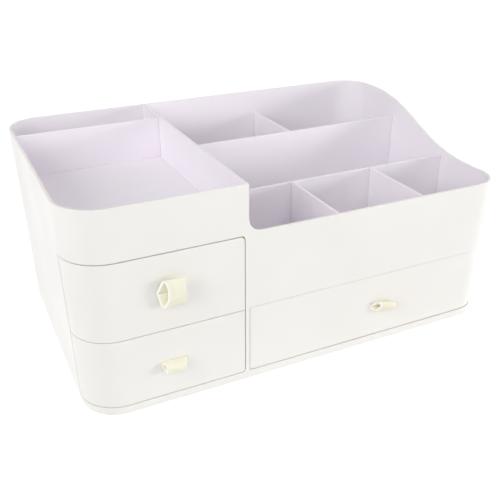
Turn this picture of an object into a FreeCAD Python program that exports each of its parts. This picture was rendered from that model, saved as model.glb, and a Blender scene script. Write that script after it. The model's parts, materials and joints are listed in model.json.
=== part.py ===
import FreeCAD
import Part
import Sketcher
import math
import os

# Desk organiser for cosmetics: a thin-walled case with open compartments over three drawers.
# Millimetres, +Z up, the fronts face -Y. The origin is under the middle of the overall box.

Vector = FreeCAD.Vector

# Driving sizes, each one settable by itself.
DRIVING_SIZES = [
    # The outer case, measured at its rim. Its walls lean in towards the bottom by the draft angle.
    ("case_width", 320.0),
    ("case_depth", 205.8),
    ("case_height", 143.9),
    ("wall", 2.1),
    ("draft_angle", 0.94),
    ("corner_front_left", 28.0),
    ("corner_front_right", 24.0),
    ("corner_rear", 25.0),
    ("foot_stand", 0.8),
    # The left block keeps the full height. The right block drops to the front rim in a soft S.
    ("left_block_width", 111.7),
    ("front_rim_height", 111.3),
    ("step_fillet", 9.5),
    ("sweep_start", 38.0),
    ("sweep_run", 134.5),
    ("sweep_roundness", 0.97),
    ("sweep_upper_share", 0.5),
    # Drawer fronts and the seams round them.
    ("rail_height", 5.7),
    ("seam", 0.5),
    ("tray_seam", 0.8),
    ("wrap_seam", 0.3),
    ("mullion_width", 2.8),
    ("lower_front_height", 49.2),
    ("upper_front_height", 53.2),
    ("wide_front_height", 50.15),
    ("front_wall", 2.0),
    ("left_front_recess", 0.2),
    ("wide_front_recess", 0.7),
    ("front_corner", 2.5),
    # Floors, shelf and base.
    ("deck_thickness", 1.8),
    ("deck_gap", 0.3),
    ("shelf_thickness", 1.8),
    ("shelf_rise", 0.4),
    ("shelf_setback", 8.0),
    ("shelf_side_gap", 0.5),
    ("base_thickness", 2.0),
    ("base_lift", 0.5),
    ("ledge_width", 1.6),
    ("ledge_height", 1.6),
    ("nib_width", 0.8),
    ("nib_length", 12.0),
    ("fit_gap", 0.05),
    # Dividers. Runs are measured from the outside of the front rim.
    ("divider_thickness", 2.0),
    ("tray_run", 162.3),
    ("front_row_run", 69.2),
    ("middle_row_depth", 65.9),
    ("back_row_divider_height", 124.5),
    ("front_divider_drop", 1.7),
    ("tray_divider_drop", 1.0),
    ("tongue_length", 24.0),
    ("tongue_gap", 0.1),
    ("tongue_reach", 0.27),
    # Drawer tubs and their runners.
    ("tub_wall", 1.8),
    ("tub_floor", 1.8),
    ("tub_side_gap", 0.7),
    ("tub_rear_gap", 2.0),
    ("tub_front_gap", 1.6),
    ("tub_lift", 1.3),
    ("tub_drop", 4.5),
    ("tub_corner", 6.0),
    ("runner_width", 3.0),
    ("runner_gap", 0.3),
    ("runner_end", 14.0),
    ("left_runner_reach", 34.0),
    ("wide_runner_reach", 70.0),
    # Pegs that hold a front to its tub.
    ("peg_radius", 1.5),
    ("boss_radius", 3.0),
    ("peg_gap", 0.05),
    ("peg_rise", 14.0),
    ("left_peg_reach", 24.0),
    ("wide_peg_reach", 60.0),
    # Strap tabs. Height is crease to crease, reach is how far the loop stands off the front.
    ("strap_width", 18.0),
    ("strap_thickness", 1.2),
    ("strap_taper", 2.5),
    ("slot_gap", 0.15),
    ("tail_length", 5.5),
    ("left_tab_inset", 59.8),
    ("wide_tab_inset", 101.6),
    ("upper_tab_rise", 27.8),
    ("lower_tab_rise", 25.0),
    ("wide_tab_rise", 24.7),
    ("upper_tab_height", 21.0),
    ("upper_tab_crease", 4.5),
    ("upper_tab_reach", 8.5),
    ("upper_tab_tilt", 5.0),
    ("lower_tab_height", 6.8),
    ("lower_tab_crease", 3.6),
    ("lower_tab_reach", 6.6),
    ("lower_tab_tilt", -20.0),
    ("wide_tab_height", 9.5),
    ("wide_tab_crease", 3.8),
    ("wide_tab_reach", 7.2),
    ("wide_tab_tilt", 10.0),
    # Keeper bars behind the straps' tails.
    ("keeper_width", 28.0),
    ("keeper_height", 13.0),
    ("keeper_thickness", 1.6),
    ("keeper_peg_radius", 1.1),
    ("keeper_peg_reach", 11.6),
    # Rubber feet.
    ("foot_radius", 6.0),
    ("foot_recess", 0.8),
    ("foot_inset", 24.0),
]

# Places worked out from the driving sizes. "S." stands for the sheet of sizes and "P." for this one.
WORKED_OUT_PLACES = [
    ("slope", "tan(S.draft_angle)"),
    ("bottom_z", "S.foot_stand"),
    ("rim_z", "P.bottom_z + S.case_height"),
    ("front_rim_z", "P.bottom_z + S.front_rim_height"),
    ("rail_z", "P.bottom_z + S.rail_height"),
    ("low_front_z", "P.rail_z + S.seam"),
    ("lower_front_top", "P.low_front_z + S.lower_front_height"),
    ("upper_front_z", "P.lower_front_top + S.seam"),
    ("upper_front_top", "P.upper_front_z + S.upper_front_height"),
    ("wide_front_top", "P.low_front_z + S.wide_front_height"),
    ("left_opening_top", "P.upper_front_top + S.tray_seam"),
    ("right_opening_top", "P.wide_front_top + S.seam"),
    ("upper_slot_z", "P.upper_front_z + S.upper_tab_rise"),
    ("lower_slot_z", "P.low_front_z + S.lower_tab_rise"),
    ("wide_slot_z", "P.low_front_z + S.wide_tab_rise"),
    ("tray_deck_z", "P.upper_front_top + S.deck_gap"),
    ("tray_floor_z", "P.tray_deck_z + S.deck_thickness"),
    ("compartment_deck_z", "P.wide_front_top + S.deck_gap"),
    ("compartment_floor_z", "P.compartment_deck_z + S.deck_thickness"),
    ("shelf_top", "P.upper_front_z + S.shelf_rise"),
    ("shelf_z", "P.shelf_top - S.shelf_thickness"),
    ("base_z", "P.bottom_z + S.base_lift"),
    ("base_top", "P.base_z + S.base_thickness"),
    ("tab_stand", "S.upper_tab_reach - S.left_front_recess - P.slope * (P.rim_z - P.upper_slot_z)"),
    ("case_left", "-S.case_width / 2"),
    ("case_right", "S.case_width / 2"),
    ("case_front", "(P.tab_stand - S.case_depth) / 2"),
    ("case_back", "P.case_front + S.case_depth"),
    ("divide_x", "P.case_left + S.left_block_width"),
    ("divide_left", "P.divide_x - S.wall / 2"),
    ("divide_right", "P.divide_x + S.wall / 2"),
    ("mullion_left", "P.divide_x - S.mullion_width / 2"),
    ("mullion_right", "P.divide_x + S.mullion_width / 2"),
    ("left_wrap_y", "P.case_front + S.corner_front_left"),
    ("right_wrap_y", "P.case_front + S.corner_front_right"),
    ("left_tab_x", "P.case_left + S.left_tab_inset"),
    ("wide_tab_x", "P.case_right - S.wide_tab_inset"),
    ("tray_divider_y", "P.case_front + S.tray_run"),
    ("front_divider_y", "P.case_front + S.front_row_run"),
    ("middle_row_y", "P.front_divider_y + S.divider_thickness"),
    ("back_divider_y", "P.middle_row_y + S.middle_row_depth"),
    ("back_row_y", "P.back_divider_y + S.divider_thickness"),
    ("sweep_rise", "P.rim_z - P.front_rim_z"),
    ("sweep_y", "P.case_front + S.sweep_start"),
    ("sweep_span", "S.sweep_run ^ 2 + P.sweep_rise ^ 2"),
    ("sweep_radii", "S.sweep_roundness * P.sweep_span / (2 * P.sweep_rise)"),
    ("sweep_straight", "sqrt((1 - S.sweep_roundness) * P.sweep_span)"),
    ("sweep_turn", "atan(P.sweep_radii / P.sweep_straight)"
                   " - atan((P.sweep_radii - P.sweep_rise) / S.sweep_run)"),
    ("sweep_upper_radius", "P.sweep_radii * S.sweep_upper_share"),
    ("sweep_lower_radius", "P.sweep_radii - P.sweep_upper_radius"),
]

# The cut through a strap's loop: a kite with a round front, and the same drawn in by the thickness.
LOOP_PLACES = [
    ("half", "S.{0}_tab_height / 2"),
    ("bulge", "S.{0}_tab_reach - S.{0}_tab_crease"),
    ("radius", "(P.{0}_half ^ 2 + P.{0}_bulge ^ 2) / (2 * P.{0}_bulge)"),
    ("side", "sqrt(S.{0}_tab_crease ^ 2 + (P.{0}_half - S.strap_thickness) ^ 2)"),
    ("mouth", "S.strap_thickness * (P.{0}_side - S.{0}_tab_crease) / (P.{0}_half - S.strap_thickness)"),
    ("out", "S.{0}_tab_crease / P.{0}_side"),
    ("up", "(P.{0}_half - S.strap_thickness) / P.{0}_side"),
    ("middle", "P.{0}_mouth - S.{0}_tab_reach + P.{0}_radius"),
    ("run", "sqrt((P.{0}_radius - S.strap_thickness) ^ 2 - (P.{0}_middle * P.{0}_up) ^ 2)"
            " - P.{0}_middle * P.{0}_out"),
]
WORKED_OUT_PLACES += [(f"{tab}_{word}", expression.format(tab))
                      for tab in ("upper", "lower", "wide") for word, expression in LOOP_PLACES]

MARGIN = "5"    # how far a cutting shape runs past the face it starts from

document = FreeCAD.newDocument("DeskOrganiser")


# The sheets of sizes and places

def full(expression):
    """Spells out the short sheet names of an expression."""
    return expression.replace("S.", "Sizes.").replace("P.", "Places.")


sizes = document.addObject("Spreadsheet::Sheet", "Sizes")
for row, (alias, value) in enumerate(DRIVING_SIZES, 1):
    sizes.set(f"A{row}", alias)
    sizes.set(f"B{row}", str(value))
    sizes.setAlias(f"B{row}", alias)
document.recompute()

places = document.addObject("Spreadsheet::Sheet", "Places")
for row, (alias, expression) in enumerate(WORKED_OUT_PLACES, 1):
    places.set(f"A{row}", alias)
    places.setAlias(f"B{row}", alias)
    places.set(f"B{row}", "=" + full(expression).replace("Places.", ""))
document.recompute()


def number(expression):
    """The present value of an expression in millimetres or degrees."""
    value = sizes.evalExpression(full(expression))
    return float(getattr(value, "Value", value))


# Helpers for bodies, sketches and features

def new_body(label):
    body = document.addObject("PartDesign::Body", label)
    body.Label = label
    return body


def new_sketch(body, name, role, level):
    """A sketch on one of the body's own origin planes, moved along +X, +Y or +Z to the level."""
    sketch = body.newObject("Sketcher::SketchObject", f"{body.Name}_{name}")
    plane = [feature for feature in body.Origin.OriginFeatures if feature.Role == role][0]
    sketch.AttachmentSupport = [(plane, "")]
    sketch.MapMode = "FlatFace"
    along_normal = f"-({level})" if role == "XZ_Plane" else level
    sketch.setExpression("AttachmentOffset.Base.z", full(along_normal))
    return sketch


def bind(sketch, constraint, name, expression):
    """Adds a dimension, names it and ties it to an expression."""
    index = sketch.addConstraint(constraint)
    sketch.renameConstraint(index, name)
    sketch.setExpression(f"Constraints.{name}", full(expression))


def arc_between(start, end, radius, turn):
    """The short arc from start to end. Turn is +1 for anticlockwise travel and -1 for clockwise."""
    chord = end - start
    rise = math.sqrt(radius ** 2 - chord.Length ** 2 / 4)
    left = Vector(-chord.y, chord.x, 0).normalize()
    centre = (start + end) / 2 + left * rise * turn
    first, last = (start, end) if turn > 0 else (end, start)
    angles = [math.atan2(point.y - centre.y, point.x - centre.x) for point in (first, last)]
    return Part.ArcOfCircle(Part.Circle(centre, Vector(0, 0, 1), radius), *angles)


def draw_outline(sketch, corners, arcs=None):
    """A closed outline through corners, each a pair of expressions. Edge i starts at corner i.
    Arcs gives (radius expression, turn) for the edges that are round."""
    arcs = arcs or {}
    first = sketch.GeometryCount
    count = len(corners)
    points = [Vector(number(across), number(up), 0) for across, up in corners]
    ends = []
    for i in range(count):
        start, end = points[i], points[(i + 1) % count]
        if i in arcs:
            radius, turn = arcs[i]
            sketch.addGeometry(arc_between(start, end, number(radius), turn), False)
            ends.append((1, 2) if turn > 0 else (2, 1))
        else:
            sketch.addGeometry(Part.LineSegment(start, end), False)
            ends.append((1, 2))
    for i in range(count):
        after = (i + 1) % count
        sketch.addConstraint(Sketcher.Constraint(
            "Coincident", first + i, ends[i][1], first + after, ends[after][0]))
    for i, (across, up) in enumerate(corners):
        edge, end = first + i, ends[i][0]
        bind(sketch, Sketcher.Constraint("DistanceX", -1, 1, edge, end, points[i].x), f"across{edge}", across)
        bind(sketch, Sketcher.Constraint("DistanceY", -1, 1, edge, end, points[i].y), f"up{edge}", up)
    for i, (radius, turn) in arcs.items():
        bind(sketch, Sketcher.Constraint("Radius", first + i, number(radius)), f"radius{first + i}", radius)


def draw_rectangle(sketch, left, right, low, high):
    draw_outline(sketch, [(left, low), (right, low), (right, high), (left, high)])


def draw_rounded(sketch, left, right, low, high, radii):
    """A rectangle with four corner radii, from the low left one anticlockwise. None is a sharp corner."""
    first = sketch.GeometryCount
    xs = {"left": number(left), "right": number(right)}
    ys = {"low": number(low), "high": number(high)}
    sides = [("left", "low"), ("right", "low"), ("right", "high"), ("left", "high")]
    corners = [Vector(xs[x], ys[y], 0) for x, y in sides]
    edges = []
    for i in range(4):
        start, end = corners[i], corners[(i + 1) % 4]
        along = (end - start).normalize()
        trim_start = number(radii[i]) if radii[i] else 0
        trim_end = number(radii[(i + 1) % 4]) if radii[(i + 1) % 4] else 0
        edges.append(("line", Part.LineSegment(start + along * trim_start, end - along * trim_end), i))
        if radii[(i + 1) % 4]:
            inward = Vector(-along.y, along.x, 0)
            centre = end - along * trim_end + inward * trim_end
            angle = math.atan2(-inward.y, -inward.x)
            circle = Part.Circle(centre, Vector(0, 0, 1), trim_end)
            edges.append(("arc", Part.ArcOfCircle(circle, angle, angle + math.pi / 2), (i + 1) % 4))
    for kind, geometry, corner in edges:
        sketch.addGeometry(geometry, False)
    lines = {}
    for i, (kind, geometry, corner) in enumerate(edges):
        after = (i + 1) % len(edges)
        joint = "Tangent" if "arc" in (kind, edges[after][0]) else "Coincident"
        sketch.addConstraint(Sketcher.Constraint(joint, first + i, 2, first + after, 1))
        if kind == "line":
            lines[corner] = first + i
            direction = "Horizontal" if corner in (0, 2) else "Vertical"
            sketch.addConstraint(Sketcher.Constraint(direction, first + i))
    bind(sketch, Sketcher.Constraint("DistanceY", -1, 1, lines[0], 1, ys["low"]), f"low{first}", low)
    bind(sketch, Sketcher.Constraint("DistanceX", -1, 1, lines[1], 1, xs["right"]), f"right{first}", right)
    bind(sketch, Sketcher.Constraint("DistanceY", -1, 1, lines[2], 1, ys["high"]), f"high{first}", high)
    bind(sketch, Sketcher.Constraint("DistanceX", -1, 1, lines[3], 1, xs["left"]), f"left{first}", left)
    for i, (kind, geometry, corner) in enumerate(edges):
        if kind == "arc":
            radius = Sketcher.Constraint("Radius", first + i, geometry.Radius)
            bind(sketch, radius, f"radius{first + i}", radii[corner])


def draw_circle(sketch, across, up, radius):
    centre = Vector(number(across), number(up), 0)
    index = sketch.addGeometry(Part.Circle(centre, Vector(0, 0, 1), number(radius)), False)
    bind(sketch, Sketcher.Constraint("DistanceX", -1, 1, index, 3, centre.x), f"across{index}", across)
    bind(sketch, Sketcher.Constraint("DistanceY", -1, 1, index, 3, centre.y), f"up{index}", up)
    bind(sketch, Sketcher.Constraint("Radius", index, number(radius)), f"radius{index}", radius)


def add_feature(kind, sketch, length, against_normal, leaning, sign):
    body = sketch.getParentGeoFeatureGroup()
    before = body.Shape.Volume if body.Tip else 0.0
    feature = body.newObject(f"PartDesign::{kind}", f"{sketch.Name}_{kind}")
    feature.Profile = sketch
    feature.setExpression("Length", full(length))
    feature.Reversed = against_normal
    if leaning:
        feature.setExpression("TaperAngle", "-Sizes.draft_angle")
    document.recompute()
    change = feature.Shape.Volume - before
    if change * sign <= 0:
        raise RuntimeError(f"{feature.Name} changed the volume by {change:.3f}")
    return feature


def pad(sketch, length, down=False, leaning=False):
    """Adds material along +Z, -Y or +X of the sketch's plane, or the other way when down."""
    return add_feature("Pad", sketch, length, down, leaning, +1)


def pocket(sketch, length, up=False, leaning=False):
    """Cuts along -Z, +Y or -X of the sketch's plane, or the other way when up."""
    return add_feature("Pocket", sketch, length, up, leaning, -1)


# Places on the leaning walls

def lean(level):
    """How far the outside of the case lies inside its rim at a level."""
    return f"P.slope * (P.rim_z - ({level}))"


def wall_inset(level, gap="0"):
    """How far the inside of the case wall lies inside the outer rim, and a gap more."""
    return f"({lean(level)} + S.wall + {gap})"


def inside_left(level, gap="0"):
    return f"P.case_left + {wall_inset(level, gap)}"


def inside_right(level, gap="0"):
    return f"P.case_right - {wall_inset(level, gap)}"


def inside_front(level, gap="0"):
    return f"P.case_front + {wall_inset(level, gap)}"


def inside_back(level, gap="0"):
    return f"P.case_back - {wall_inset(level, gap)}"


def case_radii(inset):
    """The four corner radii of the case, drawn in by an inset."""
    return [f"S.corner_front_left - {inset}", f"S.corner_front_right - {inset}",
            f"S.corner_rear - {inset}", f"S.corner_rear - {inset}"]


def case_plan(sketch, inset):
    draw_rounded(sketch, f"P.case_left + {inset}", f"P.case_right - {inset}",
                 f"P.case_front + {inset}", f"P.case_back - {inset}", case_radii(inset))


# Ledges that the floors rest on

def left_ledge(level):
    return (f"{inside_left(level)} - S.wall / 2", f"{inside_left(level)} + S.ledge_width",
            "P.left_wrap_y + 2 * S.seam", "P.case_back - S.corner_rear")


def right_ledge(level):
    return (f"{inside_right(level)} - S.ledge_width", f"{inside_right(level)} + S.wall / 2",
            "P.right_wrap_y + 2 * S.seam", "P.case_back - S.corner_rear")


def back_left_ledge(level):
    return ("P.case_left + S.corner_rear", "P.divide_left - 2 * S.ledge_width",
            f"{inside_back(level)} - S.ledge_width", f"{inside_back(level)} + S.wall / 2")


def back_right_ledge(level):
    return ("P.divide_right + 2 * S.ledge_width", "P.case_right - S.corner_rear",
            f"{inside_back(level)} - S.ledge_width", f"{inside_back(level)} + S.wall / 2")


def front_left_ledge(level):
    return ("P.case_left + S.corner_front_left", "P.divide_left - 2 * S.ledge_width",
            f"{inside_front(level)} - S.wall / 2", f"{inside_front(level)} + S.ledge_width")


def front_right_ledge(level):
    return ("P.divide_right + 2 * S.ledge_width", "P.case_right - S.corner_front_right",
            f"{inside_front(level)} - S.wall / 2", f"{inside_front(level)} + S.ledge_width")


# Outer case

def make_outer_case():
    body = new_body("outer_case")
    outside = new_sketch(body, "outside", "XY_Plane", "P.rim_z")
    case_plan(outside, "0")
    pad(outside, "S.case_height", down=True, leaning=True)
    inside = new_sketch(body, "inside", "XY_Plane", "P.rim_z")
    case_plan(inside, "S.wall")
    pocket(inside, f"S.case_height + {MARGIN}", leaning=True)

    step = new_sketch(body, "step", "XZ_Plane", "P.sweep_y")
    draw_rounded(step, "P.divide_right", f"P.case_right + {MARGIN}", "P.front_rim_z", f"P.rim_z + {MARGIN}",
                 ["S.step_fillet", None, None, None])
    pocket(step, f"S.sweep_start + {MARGIN}", up=True)

    sweep = new_sketch(body, "sweep", "YZ_Plane", "P.case_right - S.corner_rear")
    lower_end = ("P.sweep_y + P.sweep_lower_radius * sin(P.sweep_turn)",
                 "P.front_rim_z + P.sweep_lower_radius * (1 - cos(P.sweep_turn))")
    upper_end = ("P.sweep_y + S.sweep_run - P.sweep_upper_radius * sin(P.sweep_turn)",
                 "P.rim_z - P.sweep_upper_radius * (1 - cos(P.sweep_turn))")
    draw_outline(sweep, [("P.sweep_y", "P.front_rim_z"), lower_end, upper_end,
                         ("P.sweep_y + S.sweep_run", "P.rim_z"),
                         ("P.sweep_y + S.sweep_run", f"P.rim_z + {MARGIN}"),
                         ("P.sweep_y", f"P.rim_z + {MARGIN}")],
                 {0: ("P.sweep_lower_radius", +1), 2: ("P.sweep_upper_radius", -1)})
    pocket(sweep, f"S.corner_rear + {MARGIN}", up=True)

    left_opening = new_sketch(body, "left_opening", "XZ_Plane", "P.left_wrap_y")
    draw_rounded(left_opening, f"P.case_left - {MARGIN}", "P.mullion_left", "P.rail_z", "P.left_opening_top",
                 [None, "S.front_corner + S.seam", "S.front_corner + S.seam", None])
    pocket(left_opening, f"S.corner_front_left + {MARGIN}", up=True)
    right_opening = new_sketch(body, "right_opening", "XZ_Plane", "P.right_wrap_y")
    draw_rectangle(right_opening, "P.mullion_right", f"P.case_right + {MARGIN}",
                   "P.rail_z", "P.right_opening_top")
    pocket(right_opening, f"S.corner_front_right + {MARGIN}", up=True)

    all_round = [left_ledge, right_ledge, back_left_ledge, back_right_ledge,
                 front_left_ledge, front_right_ledge]
    ledge_sets = [("base_ledges", "P.base_top", all_round),
                  ("shelf_ledges", "P.shelf_z - S.ledge_height", [left_ledge, back_left_ledge]),
                  ("tray_ledges", "P.tray_deck_z - S.ledge_height", [left_ledge, back_left_ledge]),
                  ("compartment_ledges", "P.compartment_deck_z - S.ledge_height",
                   [right_ledge, back_right_ledge])]
    for name, level, ledges in ledge_sets:
        sketch = new_sketch(body, name, "XY_Plane", level)
        for ledge in ledges:
            draw_rectangle(sketch, *ledge(level))
        pad(sketch, "S.ledge_height")

    nibs = new_sketch(body, "nibs", "XY_Plane", "P.bottom_z")
    middle_y = "(P.case_front + P.case_back) / 2"
    for side in (-1, 1):
        along_x = f"P.divide_x + {side} * S.left_block_width / 2"
        start_x, end_x = f"{along_x} - S.nib_length / 2", f"{along_x} + S.nib_length / 2"
        draw_rectangle(nibs, start_x, end_x, f"{inside_front('P.bottom_z')} - S.wall / 2",
                       f"{inside_front('P.bottom_z')} + S.nib_width")
        draw_rectangle(nibs, start_x, end_x, f"{inside_back('P.bottom_z')} - S.nib_width",
                       f"{inside_back('P.bottom_z')} + S.wall / 2")
    start_y, end_y = f"{middle_y} - S.nib_length / 2", f"{middle_y} + S.nib_length / 2"
    draw_rectangle(nibs, f"{inside_left('P.bottom_z')} - S.wall / 2",
                   f"{inside_left('P.bottom_z')} + S.nib_width", start_y, end_y)
    draw_rectangle(nibs, f"{inside_right('P.bottom_z')} - S.nib_width",
                   f"{inside_right('P.bottom_z')} + S.wall / 2", start_y, end_y)
    pad(nibs, "S.base_lift - S.fit_gap")
    return body


# Upright plates with tongues that drop into slots in the floor under them

def tongue_centres(start, end):
    """Two places along a plate, each the same share of its length from an end."""
    return [f"({start}) + S.tongue_reach * (({end}) - ({start}))",
            f"({end}) - S.tongue_reach * (({end}) - ({start}))"]


def make_plate(label, role, level, thickness, corners, floor_z, tongue_depth):
    """An upright plate. Corners run low start, low end, high end, high start."""
    body = new_body(label)
    sheet = new_sketch(body, "sheet", role, level)
    draw_outline(sheet, corners)
    towards_back = role == "XZ_Plane"
    pad(sheet, thickness, down=towards_back)
    tongues = new_sketch(body, "tongues", role, level)
    for centre in tongue_centres(corners[0][0], corners[1][0]):
        draw_rectangle(tongues, f"{centre} - S.tongue_length / 2", f"{centre} + S.tongue_length / 2",
                       f"{floor_z} - {tongue_depth}", f"{floor_z} + S.wall")
    pad(tongues, thickness, down=towards_back)
    return body


def cut_tongue_slots(body, name, top, depth, plates):
    """Slots through a floor. Each plate is (role, level, thickness, start, end)."""
    sketch = new_sketch(body, name, "XY_Plane", top)
    for role, level, thickness, start, end in plates:
        for centre in tongue_centres(start, end):
            run = (f"{centre} - S.tongue_length / 2 - S.tongue_gap",
                   f"{centre} + S.tongue_length / 2 + S.tongue_gap")
            across = (f"{level} - S.tongue_gap", f"{level} + {thickness} + S.tongue_gap")
            if role == "XZ_Plane":
                draw_rectangle(sketch, *run, *across)
            else:
                draw_rectangle(sketch, *across, *run)
    pocket(sketch, depth)


def row_divider_corners(low, high):
    """Corners of a divider between the centre wall and the leaning right wall."""
    start_x = "P.divide_right + S.fit_gap"
    return [(start_x, low), (inside_right(low, "S.fit_gap"), low),
            (inside_right(high, "S.fit_gap"), high), (start_x, high)]


CENTRE_WALL_CORNERS = [
    (inside_front("P.base_top", "S.fit_gap"), "P.base_top"),
    (inside_back("P.base_top", "S.fit_gap"), "P.base_top"),
    (inside_back("P.rim_z", "S.fit_gap"), "P.rim_z"),
    (inside_front("P.rim_z", "S.fit_gap"), "P.rim_z"),
]


def make_centre_wall():
    body = make_plate("centre_wall", "YZ_Plane", "P.divide_left", "S.wall",
                      CENTRE_WALL_CORNERS, "P.base_top", "S.base_thickness")
    span = ("P.left_wrap_y", "P.case_back - S.corner_rear")
    left_face = new_sketch(body, "left_ledges", "YZ_Plane", "P.divide_left")
    draw_rectangle(left_face, *span, "P.shelf_z - S.ledge_height", "P.shelf_z")
    draw_rectangle(left_face, *span, "P.tray_deck_z - S.ledge_height", "P.tray_deck_z")
    pad(left_face, "S.ledge_width", down=True)
    right_face = new_sketch(body, "right_ledge", "YZ_Plane", "P.divide_right")
    draw_rectangle(right_face, *span, "P.compartment_deck_z - S.ledge_height", "P.compartment_deck_z")
    pad(right_face, "S.ledge_width")
    return body


# Dividers, each drawn from its low start to its high start

TRAY_DIVIDER_TOP = "P.rim_z - S.tray_divider_drop"
BACK_DIVIDER_TOP = "P.bottom_z + S.back_row_divider_height"
FRONT_DIVIDER_TOP = "P.front_rim_z - S.front_divider_drop"
TRAY_DIVIDER_CORNERS = [
    (inside_left("P.tray_floor_z", "S.fit_gap"), "P.tray_floor_z"),
    ("P.divide_left - S.fit_gap", "P.tray_floor_z"),
    ("P.divide_left - S.fit_gap", TRAY_DIVIDER_TOP),
    (inside_left(TRAY_DIVIDER_TOP, "S.fit_gap"), TRAY_DIVIDER_TOP),
]
BACK_ROW_CORNERS = row_divider_corners("P.compartment_floor_z", BACK_DIVIDER_TOP)
FRONT_ROW_CORNERS = row_divider_corners("P.compartment_floor_z", FRONT_DIVIDER_TOP)
BACK_CELL_CORNERS = [
    ("P.back_row_y + S.fit_gap", "P.compartment_floor_z"),
    (inside_back("P.compartment_floor_z", "S.fit_gap"), "P.compartment_floor_z"),
    (inside_back(BACK_DIVIDER_TOP, "S.fit_gap"), BACK_DIVIDER_TOP),
    ("P.back_row_y + S.fit_gap", BACK_DIVIDER_TOP),
]
FRONT_CELL_CORNERS = [
    (inside_front("P.compartment_floor_z", "S.fit_gap"), "P.compartment_floor_z"),
    ("P.front_divider_y - S.fit_gap", "P.compartment_floor_z"),
    ("P.front_divider_y - S.fit_gap", FRONT_DIVIDER_TOP),
    (inside_front(FRONT_DIVIDER_TOP, "S.fit_gap"), FRONT_DIVIDER_TOP),
]


def cell_divider_x(cells, index):
    """Left face of a cell divider, where a row is shared out in equal cells at the rim."""
    inner_right = f"({inside_right('P.front_rim_z')})"
    cell = f"({inner_right} - P.divide_right - {cells - 1} * S.divider_thickness) / {cells}"
    return f"P.divide_right + {index} * {cell} + {index - 1} * S.divider_thickness"


BACK_CELLS = 2
FRONT_CELLS = 3


def make_dividers():
    made = [make_plate("tray_rear_divider", "XZ_Plane", "P.tray_divider_y", "S.divider_thickness",
                       TRAY_DIVIDER_CORNERS, "P.tray_floor_z", "S.deck_thickness"),
            make_plate("back_row_divider", "XZ_Plane", "P.back_divider_y", "S.divider_thickness",
                       BACK_ROW_CORNERS, "P.compartment_floor_z", "S.deck_thickness"),
            make_plate("front_row_divider", "XZ_Plane", "P.front_divider_y", "S.divider_thickness",
                       FRONT_ROW_CORNERS, "P.compartment_floor_z", "S.deck_thickness"),
            make_plate("back_cell_divider", "YZ_Plane", cell_divider_x(BACK_CELLS, 1), "S.divider_thickness",
                       BACK_CELL_CORNERS, "P.compartment_floor_z", "S.deck_thickness")]
    for index, side in ((1, "left"), (2, "right")):
        made.append(make_plate(f"front_cell_divider_{side}", "YZ_Plane", cell_divider_x(FRONT_CELLS, index),
                               "S.divider_thickness", FRONT_CELL_CORNERS,
                               "P.compartment_floor_z", "S.deck_thickness"))
    return made


# Floors

def make_tray_deck():
    body = new_body("tray_deck")
    inset = wall_inset("P.tray_deck_z", "S.fit_gap")
    radii = case_radii(inset)
    plan = new_sketch(body, "plan", "XY_Plane", "P.tray_deck_z")
    draw_rounded(plan, f"P.case_left + {inset}", "P.divide_left - S.fit_gap",
                 f"P.case_front + {inset}", f"P.case_back - {inset}", [radii[0], None, None, radii[3]])
    pad(plan, "S.deck_thickness")
    cut_tongue_slots(body, "slots", "P.tray_floor_z", "S.deck_thickness",
                     [("XZ_Plane", "P.tray_divider_y", "S.divider_thickness",
                       TRAY_DIVIDER_CORNERS[0][0], TRAY_DIVIDER_CORNERS[1][0])])
    return body


def make_compartment_deck():
    body = new_body("compartment_deck")
    inset = wall_inset("P.compartment_deck_z", "S.fit_gap")
    radii = case_radii(inset)
    plan = new_sketch(body, "plan", "XY_Plane", "P.compartment_deck_z")
    draw_rounded(plan, "P.divide_right + S.fit_gap", f"P.case_right - {inset}",
                 f"P.case_front + {inset}", f"P.case_back - {inset}", [None, radii[1], radii[2], None])
    pad(plan, "S.deck_thickness")
    plates = [("XZ_Plane", "P.back_divider_y", BACK_ROW_CORNERS),
              ("XZ_Plane", "P.front_divider_y", FRONT_ROW_CORNERS),
              ("YZ_Plane", cell_divider_x(BACK_CELLS, 1), BACK_CELL_CORNERS),
              ("YZ_Plane", cell_divider_x(FRONT_CELLS, 1), FRONT_CELL_CORNERS),
              ("YZ_Plane", cell_divider_x(FRONT_CELLS, 2), FRONT_CELL_CORNERS)]
    cut_tongue_slots(body, "slots", "P.compartment_floor_z", "S.deck_thickness",
                     [(role, level, "S.divider_thickness", corners[0][0], corners[1][0])
                      for role, level, corners in plates])
    return body


def draw_runners(sketch, middle_x, reach):
    for side in (-1, 1):
        centre = f"{middle_x} + {side} * {reach}"
        draw_rectangle(sketch, f"{centre} - S.runner_width / 2", f"{centre} + S.runner_width / 2",
                       "P.case_front + S.runner_end", "P.case_back - S.runner_end")


LEFT_BAY_MIDDLE = "(P.case_left + S.wall + P.divide_left) / 2"
WIDE_BAY_MIDDLE = "(P.divide_right + P.case_right - S.wall) / 2"


def make_drawer_shelf():
    body = new_body("drawer_shelf")
    inset = wall_inset("P.shelf_z", "S.shelf_side_gap")
    plan = new_sketch(body, "plan", "XY_Plane", "P.shelf_z")
    draw_rounded(plan, f"P.case_left + {inset}", "P.divide_left - S.fit_gap",
                 "P.case_front + S.shelf_setback", f"P.case_back - {inset}",
                 ["S.corner_front_left - S.shelf_setback", None, None, f"S.corner_rear - {inset}"])
    pad(plan, "S.shelf_thickness")
    runners = new_sketch(body, "runners", "XY_Plane", "P.shelf_top")
    draw_runners(runners, LEFT_BAY_MIDDLE, "S.left_runner_reach")
    pad(runners, "P.upper_front_z + S.tub_lift - S.runner_gap - P.shelf_top")
    return body


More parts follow.
